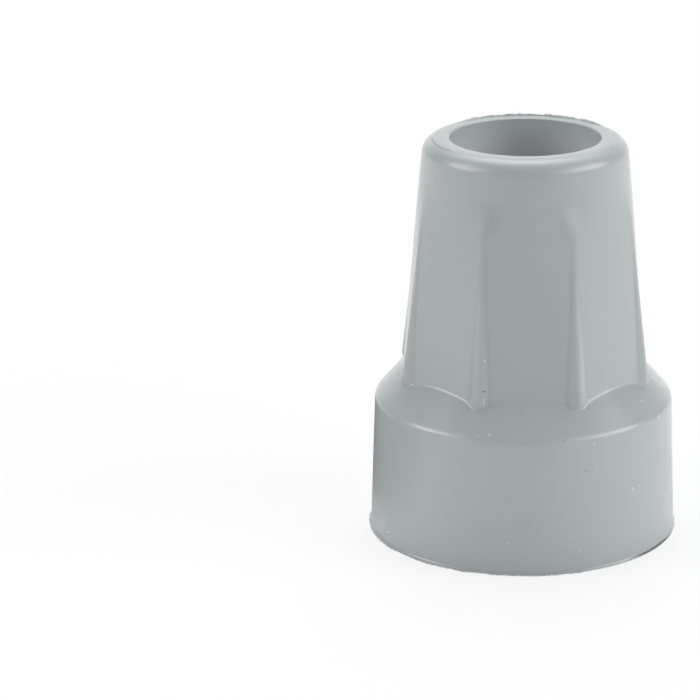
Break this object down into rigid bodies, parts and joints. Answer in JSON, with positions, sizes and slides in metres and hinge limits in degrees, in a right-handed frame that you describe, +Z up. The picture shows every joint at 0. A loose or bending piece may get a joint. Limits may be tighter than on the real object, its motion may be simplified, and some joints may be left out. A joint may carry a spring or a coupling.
{
  "type": "rubber cane tip",
  "caption": "Grey rubber ferrule for a walking stick: a wide round base with a ring-grooved tread, a sloping shoulder and a ribbed eight-sided neck around a blind round socket.",
  "frame": {"origin": "centre of the tread, on the floor that the tip stands on", "axes": "+Z up along the axis of the socket, -Y square to one flat panel of the neck"},
  "size_m": [0.0396, 0.0394, 0.051],
  "materials": {
    "rubber": "smooth moulded grey rubber, satin"
  },
  "bodies": {
    "root": {"cane_tip": "rubber"}
  },
  "joints": []
}
